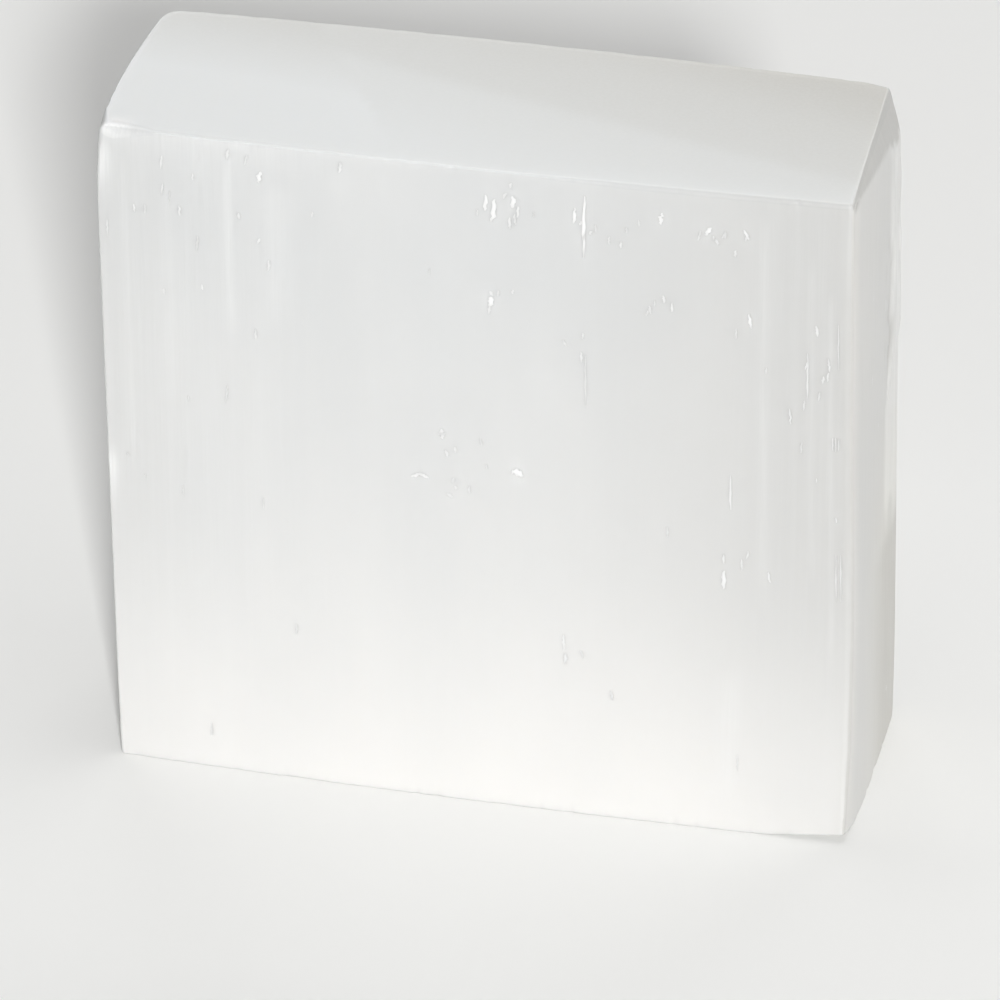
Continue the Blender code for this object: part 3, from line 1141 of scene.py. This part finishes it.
def floor_material():
    """Matte pale paper."""
    n = Nodes("pale_floor")
    n.shader.inputs["Base Color"].default_value = FLOOR_COLOUR
    n.shader.inputs["Roughness"].default_value = 0.9
    n.shader.inputs["Specular IOR Level"].default_value = 0.0
    return n.material


# -------- floor, lights and camera

FLOOR_SIZE = 8.0
FLOOR_COLOUR = (0.90, 0.90, 0.885, 1)

CAMERA_AZIMUTH = radians(13.065)  # to the right of the front
CAMERA_ELEVATION = radians(30.775)
CAMERA_ROLL = radians(-0.318)
CAMERA_DISTANCE = 0.9365
CAMERA_LENS = 259.2  # millimetres, on the usual 36 mm wide film
CAMERA_LEFT = 0.00041  # how far the camera stands to the left of the line to the middle
CAMERA_BELOW = 0.00969  # and how far below it


def direction(azimuth, elevation):
    """Unit vector from the block towards something seen at those angles."""
    flat = cos(elevation)
    return Vector((sin(azimuth) * flat, -cos(azimuth) * flat, sin(elevation)))


def facing(towards, roll=0.0):
    """Rotation of a camera or a light that stands that way and looks back."""
    right = Vector((0, 0, 1)).cross(towards).normalized()
    up = towards.cross(right)
    turned_right = cos(roll) * right + sin(roll) * up
    turned_up = cos(roll) * up - sin(roll) * right
    return Matrix((turned_right, turned_up, towards)).transposed()


def add_floor():
    """A wide pale floor under the block."""
    mesh = bpy.data.meshes.new("floor")
    half = FLOOR_SIZE / 2
    corners = [(-half, -half, 0), (half, -half, 0), (half, half, 0), (-half, half, 0)]
    mesh.from_pydata(corners, [], [(0, 1, 2, 3)])
    floor = bpy.data.objects.new("floor", mesh)
    floor.data.materials.append(floor_material())
    bpy.context.scene.collection.objects.link(floor)


def add_camera(middle):
    """The camera, at the photo's viewing angle."""
    towards = direction(CAMERA_AZIMUTH, CAMERA_ELEVATION)
    rotation = facing(towards, CAMERA_ROLL)
    beside = rotation @ Vector((-CAMERA_LEFT, -CAMERA_BELOW, 0))
    data = bpy.data.cameras.new("camera")
    data.lens = CAMERA_LENS
    data.clip_start = 0.01
    camera = bpy.data.objects.new("camera", data)
    place = Matrix.Translation(middle + towards * CAMERA_DISTANCE + beside)
    camera.matrix_world = place @ rotation.to_4x4()
    bpy.context.scene.collection.objects.link(camera)
    bpy.context.scene.camera = camera


# A soft box: azimuth and elevation in degrees, distance and size in metres, power in watts.
Softbox = namedtuple("Softbox", "name azimuth elevation distance width height power")
SOFTBOXES = (
    Softbox("key", 18, 25.5, 4.0, 0.30, 0.30, 134),
    Softbox("overhead", 0, 88, 1.8, 1.8, 1.8, 13),
    Softbox("back", 180, 40, 1.8, 1.5, 1.2, 8.5),
    Softbox("right_fill", 85, 25, 1.8, 1.2, 1.2, 2.8),
)
WORLD_COLOUR = (1.0, 1.0, 1.0, 1)
WORLD_STRENGTH = 0.04


def add_lights(middle):
    """Soft boxes round the block, and an even glow from the room."""
    for box in SOFTBOXES:
        data = bpy.data.lights.new(box.name, "AREA")
        data.shape = "RECTANGLE"
        data.size = box.width
        data.size_y = box.height
        data.energy = box.power
        light = bpy.data.objects.new(box.name, data)
        towards = direction(radians(box.azimuth), radians(box.elevation))
        place = Matrix.Translation(middle + towards * box.distance)
        light.matrix_world = place @ facing(towards).to_4x4()
        bpy.context.scene.collection.objects.link(light)
    world = bpy.data.worlds.new("room")
    world.use_nodes = True
    background = world.node_tree.nodes["Background"]
    background.inputs["Color"].default_value = WORLD_COLOUR
    background.inputs["Strength"].default_value = WORLD_STRENGTH
    bpy.context.scene.world = world


def main():
    """Builds the pieces and the stage."""
    rng = np.random.default_rng(SEED)
    block, walls, around = make_block(rng)
    for piece in (block, make_splinters(walls, around, rng)):
        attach(piece, "root")
        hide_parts("block")
    middle = Vector((0, 0, HEIGHT / 2))
    add_floor()
    add_camera(middle)
    add_lights(middle)
    bpy.context.scene.view_settings.view_transform = "Standard"


main()
